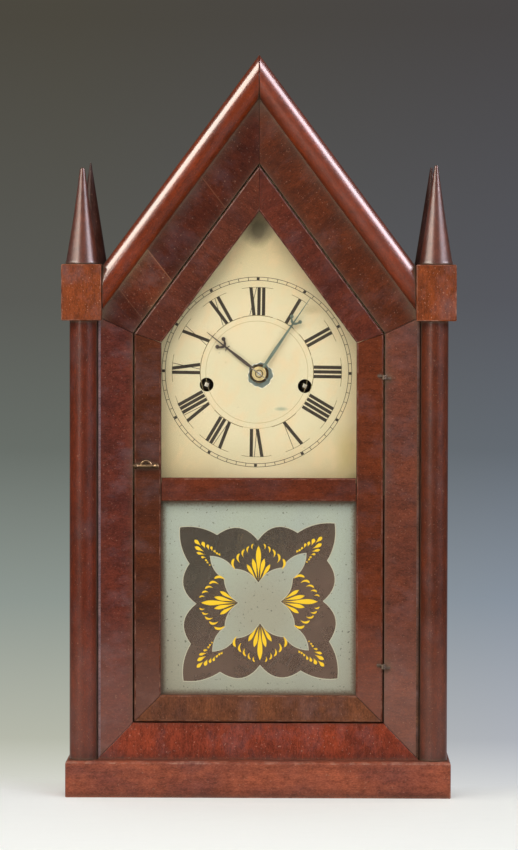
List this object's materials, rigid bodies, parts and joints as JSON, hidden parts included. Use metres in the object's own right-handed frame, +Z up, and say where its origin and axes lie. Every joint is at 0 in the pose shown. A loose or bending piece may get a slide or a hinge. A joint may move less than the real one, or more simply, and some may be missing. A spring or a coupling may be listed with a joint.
{
  "type": "steeple clock",
  "caption": "Sharp gothic shelf clock with columns, steeples, a canted mitred front, a glazed hinged door, a dial with hands, and an eight-day movement with a pendulum and a gong",
  "frame": {"origin": "on the table under the middle of the plinth", "axes": "+Z up, +X to the viewer's right, +Y to the back, so the dial faces -Y"},
  "size_m": [0.2694, 0.118, 0.508],
  "materials": {
    "case_wood": "aged red-brown shellac, semi-gloss",
    "block_wood": "aged orange-brown shellac",
    "inner_wood": "plain unfinished softwood",
    "clear_glass": "old clear window glass",
    "tablet_glass": "glass painted on the back",
    "dial_paint": "aged cream paint on zinc",
    "brass": "aged brass",
    "steel": "bright steel",
    "blued_steel": "worn blued steel",
    "cast_iron": "black cast iron"
  },
  "bodies": {
    "case": {"back_board": "inner_wood", "back_plate": "brass", "bottom_board": "inner_wood", "dial": "dial_paint", "frame_bottom_rail": "case_wood", "frame_left_rake": "case_wood", "frame_left_stile": "case_wood", "frame_right_rake": "case_wood", "frame_right_stile": "case_wood", "front_left_block": "block_wood", "front_left_column": "case_wood", "front_left_steeple": "case_wood", "front_plate": "brass", "front_right_block": "block_wood", "front_right_column": "case_wood", "front_right_steeple": "case_wood", "gong_base": "cast_iron", "gong_coil": "steel", "left_rake_moulding": "block_wood", "left_roof": "case_wood", "left_side": "case_wood", "lower_hinge_frame_leaf": "brass", "plinth_front": "case_wood", "plinth_left": "case_wood", "plinth_right": "case_wood", "rear_left_turret": "case_wood", "rear_right_turret": "case_wood", "right_rake_moulding": "block_wood", "right_roof": "case_wood", "right_side": "case_wood", "strike_mainspring": "steel", "time_mainspring": "steel", "upper_hinge_frame_leaf": "brass"},
    "door": {"door_bottom_rail": "case_wood", "door_hinge_stile": "case_wood", "door_latch_stile": "case_wood", "door_left_rake": "case_wood", "door_middle_rail": "case_wood", "door_right_rake": "case_wood", "upper_glass": "clear_glass", "tablet_glass": "tablet_glass", "lower_hinge_door_leaf": "brass", "upper_hinge_door_leaf": "brass"},
    "catch": {"door_catch": "brass"},
    "centre_arbor": {"centre_wheel": "brass", "minute_hand": "blued_steel"},
    "hour_pipe": {"hour_wheel": "brass", "hour_hand": "blued_steel"},
    "minute_wheel_arbor": {"minute_wheel": "brass"},
    "time_great_arbor": {"time_great_wheel": "brass"},
    "third_arbor": {"third_wheel": "brass"},
    "escape_arbor": {"escape_wheel": "brass"},
    "verge_arbor": {"verge": "steel"},
    "pendulum": {"pendulum_rod": "steel", "pendulum_bob": "brass"},
    "pin_wheel_arbor": {"pin_wheel": "brass"},
    "strike_great_arbor": {"strike_great_wheel": "brass"},
    "count_wheel_pipe": {"count_wheel": "brass"},
    "fly_arbor": {"fly": "brass"},
    "hammer_arbor": {"hammer": "steel"}
  },
  "joints": [
    {"name": "door_hinge", "type": "hinge", "parent": "case", "child": "door", "pos_m": [0.086, -0.0459, 0.1885], "axis": [0, 0, 1], "range_deg": [0, 120]},
    {"name": "catch_turn", "type": "hinge", "parent": "door", "child": "catch", "pos_m": [-0.0773, -0.0462, 0.2266], "axis": [0, 1, 0], "range_deg": [0, 90]},
    {"name": "minute_hand_turn", "type": "hinge", "parent": "case", "child": "centre_arbor", "pos_m": [0, 0, 0.29], "axis": [0, 1, 0], "continuous": true},
    {"name": "hour_hand_turn", "type": "hinge", "parent": "case", "child": "hour_pipe", "pos_m": [0, 0, 0.29], "axis": [0, 1, 0], "continuous": true},
    {"name": "minute_wheel_turn", "type": "hinge", "parent": "case", "child": "minute_wheel_arbor", "pos_m": [0, 0, 0.2756], "axis": [0, 1, 0], "continuous": true},
    {"name": "time_great_turn", "type": "hinge", "parent": "case", "child": "time_great_arbor", "pos_m": [0.0315, 0, 0.2814], "axis": [0, 1, 0], "continuous": true},
    {"name": "third_wheel_turn", "type": "hinge", "parent": "case", "child": "third_arbor", "pos_m": [0.0072, 0, 0.3154], "axis": [0, 1, 0], "continuous": true},
    {"name": "escape_wheel_turn", "type": "hinge", "parent": "case", "child": "escape_arbor", "pos_m": [0, 0, 0.33384], "axis": [0, 1, 0], "continuous": true},
    {"name": "pendulum_swing", "type": "hinge", "parent": "case", "child": "pendulum", "pos_m": [0, 0.03, 0.35], "axis": [0, 1, 0], "range_deg": [-4, 4]},
    {"name": "verge_rock", "type": "hinge", "parent": "case", "child": "verge_arbor", "pos_m": [0, 0, 0.35], "axis": [0, 1, 0], "range_deg": [-4, 4]},
    {"name": "pin_wheel_turn", "type": "hinge", "parent": "case", "child": "pin_wheel_arbor", "pos_m": [-0.0297, 0, 0.3143], "axis": [0, 1, 0], "continuous": true},
    {"name": "strike_great_turn", "type": "hinge", "parent": "case", "child": "strike_great_arbor", "pos_m": [-0.0362, 0, 0.2823], "axis": [0, 1, 0], "continuous": true},
    {"name": "count_wheel_turn", "type": "hinge", "parent": "case", "child": "count_wheel_pipe", "pos_m": [-0.0362, 0, 0.2823], "axis": [0, 1, 0], "continuous": true},
    {"name": "fly_turn", "type": "hinge", "parent": "case", "child": "fly_arbor", "pos_m": [-0.0365, 0, 0.3329], "axis": [0, 1, 0], "continuous": true},
    {"name": "hammer_lift", "type": "hinge", "parent": "case", "child": "hammer_arbor", "pos_m": [-0.012, 0, 0.26], "axis": [0, 1, 0], "range_deg": [0, 10]}
  ],
  "couplings": [
    {"joint": "hour_hand_turn", "follows": "minute_hand_turn", "ratio": 0.083333},
    {"joint": "minute_wheel_turn", "follows": "minute_hand_turn", "ratio": -0.33333},
    {"joint": "time_great_turn", "follows": "minute_hand_turn", "ratio": -0.16667},
    {"joint": "third_wheel_turn", "follows": "minute_hand_turn", "ratio": -10},
    {"joint": "escape_wheel_turn", "follows": "minute_hand_turn", "ratio": 100},
    {"joint": "verge_rock", "follows": "pendulum_swing", "ratio": 1},
    {"joint": "strike_great_turn", "follows": "pin_wheel_turn", "ratio": -0.16667},
    {"joint": "count_wheel_turn", "follows": "pin_wheel_turn", "ratio": -0.10256},
    {"joint": "fly_turn", "follows": "pin_wheel_turn", "ratio": -10}
  ]
}
